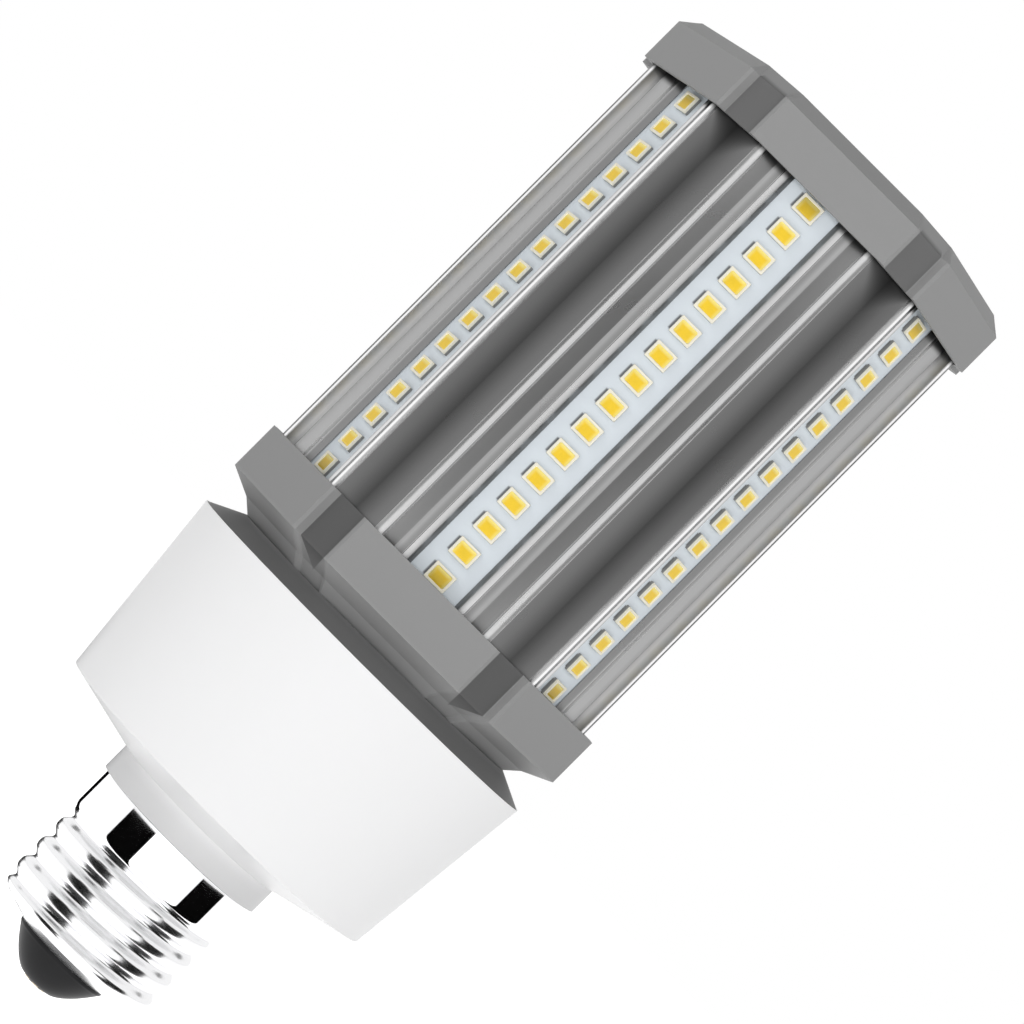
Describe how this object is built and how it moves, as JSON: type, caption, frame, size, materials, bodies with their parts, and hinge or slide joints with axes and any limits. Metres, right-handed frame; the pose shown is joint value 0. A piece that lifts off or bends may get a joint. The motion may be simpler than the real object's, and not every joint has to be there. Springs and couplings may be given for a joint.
{
  "type": "corn led bulb",
  "caption": "Corn-cob LED lamp: rows of LEDs on the faces of a ribbed aluminium body, held between grey caps, with a white driver housing and a screw base.",
  "frame": {"origin": "on the bulb's axis, in the plane where the white collar seats on the screw shell's upper edge", "axes": "+Z along the axis from the screw base to the upper cap; -Y out of the first LED face"},
  "size_m": [0.0598, 0.0588, 0.1537],
  "materials": {
    "shell_metal": "bright nickel plate on the rolled screw shell",
    "insulator_black": "smooth black moulding",
    "contact_metal": "plain rivet",
    "housing_white": "white moulding with a soft sheen",
    "cap_grey": "mid-grey moulding with a fine texture",
    "extrusion": "extruded, clear finish with bright rails",
    "board_white": "cool white solder mask",
    "led_body": "cream LED package",
    "led_phosphor": "yellow phosphor",
    "screw_steel": "plated steel",
    "circuit_board": "green laminate",
    "ferrite": "dark ferrite",
    "winding_tape": "yellow tape over the winding",
    "can_sleeve": "dark sleeve",
    "film_box": "yellow box",
    "choke_wire": "enamelled copper",
    "chip_black": "moulded package",
    "varistor_blue": "dipped disc",
    "fuse_green": "lacquered body",
    "lead_red": "insulated lead",
    "lead_black": "insulated lead"
  },
  "bodies": {
    "root": {"screw_shell": "shell_metal", "base_insulator": "insulator_black", "centre_contact": "contact_metal", "driver_housing": "housing_white", "lower_cap": "cap_grey", "upper_cap": "cap_grey", "heat_sink": "extrusion", "link_board": "circuit_board", "lower_cap_screws": "screw_steel", "upper_cap_screws": "screw_steel", "driver_board": "circuit_board", "transformer_core": "ferrite", "transformer_winding": "winding_tape", "mains_capacitor": "can_sleeve", "output_capacitor": "can_sleeve", "film_capacitor": "film_box", "filter_choke": "choke_wire", "varistor": "varistor_blue", "fuse_resistor": "fuse_green", "bridge_rectifier": "chip_black", "switching_transistor": "chip_black", "control_chip": "chip_black", "live_lead": "lead_red", "neutral_lead": "lead_black", "led_lead_positive": "lead_red", "led_lead_negative": "lead_black", "led_board_1": "board_white", "led_packages_1": "led_body", "led_phosphor_1": "led_phosphor", "led_board_2": "board_white", "led_packages_2": "led_body", "led_phosphor_2": "led_phosphor", "led_board_3": "board_white", "led_packages_3": "led_body", "led_phosphor_3": "led_phosphor", "led_board_4": "board_white", "led_packages_4": "led_body", "led_phosphor_4": "led_phosphor", "led_board_5": "board_white", "led_packages_5": "led_body", "led_phosphor_5": "led_phosphor", "led_board_6": "board_white", "led_packages_6": "led_body", "led_phosphor_6": "led_phosphor"}
  },
  "joints": []
}
